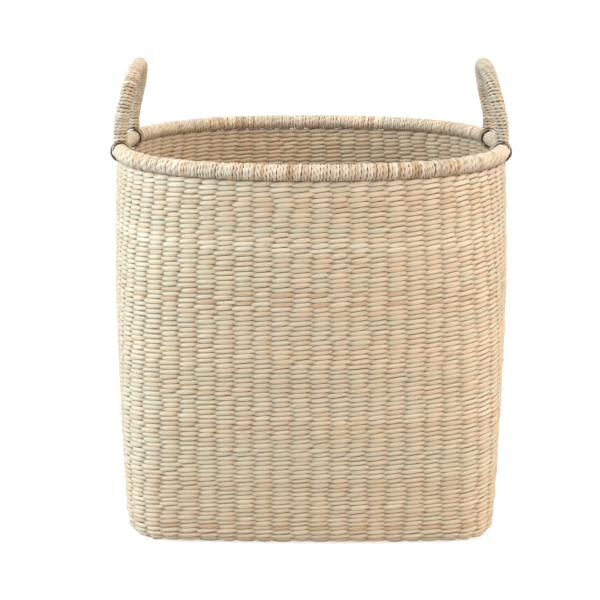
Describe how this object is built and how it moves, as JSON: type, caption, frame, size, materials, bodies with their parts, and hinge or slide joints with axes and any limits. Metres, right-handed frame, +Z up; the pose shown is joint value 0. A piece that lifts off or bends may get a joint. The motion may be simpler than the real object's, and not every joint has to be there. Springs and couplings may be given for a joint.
{
  "type": "storage basket",
  "caption": "Round-cornered woven seagrass storage basket with an open top, a cord-bound rim and a bound bail handle looped over the rim at each side.",
  "frame": {"origin": "middle of the flat underside, on the surface the basket stands on", "axes": "+Z up through the open mouth; +X towards the right handle; +Y towards the back"},
  "size_m": [0.441, 0.425, 0.5024],
  "materials": {
    "seagrass_weave": "matte",
    "rim_seagrass": "matte",
    "handle_seagrass": "matte",
    "cane": "matte"
  },
  "bodies": {
    "basket": {"base_weave": "seagrass_weave", "wall_weave": "seagrass_weave", "long_stakes": "cane", "cross_stakes": "cane", "rim_hoop": "cane", "rim_binding": "rim_seagrass"},
    "left_handle": {"left_front_loop": "handle_seagrass", "left_back_loop": "handle_seagrass", "left_handle_cane": "cane", "left_handle_binding": "handle_seagrass"},
    "right_handle": {"right_front_loop": "handle_seagrass", "right_back_loop": "handle_seagrass", "right_handle_cane": "cane", "right_handle_binding": "handle_seagrass"}
  },
  "joints": [
    {"name": "left_handle_swing", "type": "hinge", "parent": "basket", "child": "left_handle", "pos_m": [-0.20723, 0, 0.4065], "axis": [0, 1, 0], "range_deg": [-115, 100]},
    {"name": "right_handle_swing", "type": "hinge", "parent": "basket", "child": "right_handle", "pos_m": [0.20723, 0, 0.4065], "axis": [0, 1, 0], "range_deg": [-100, 115]}
  ]
}
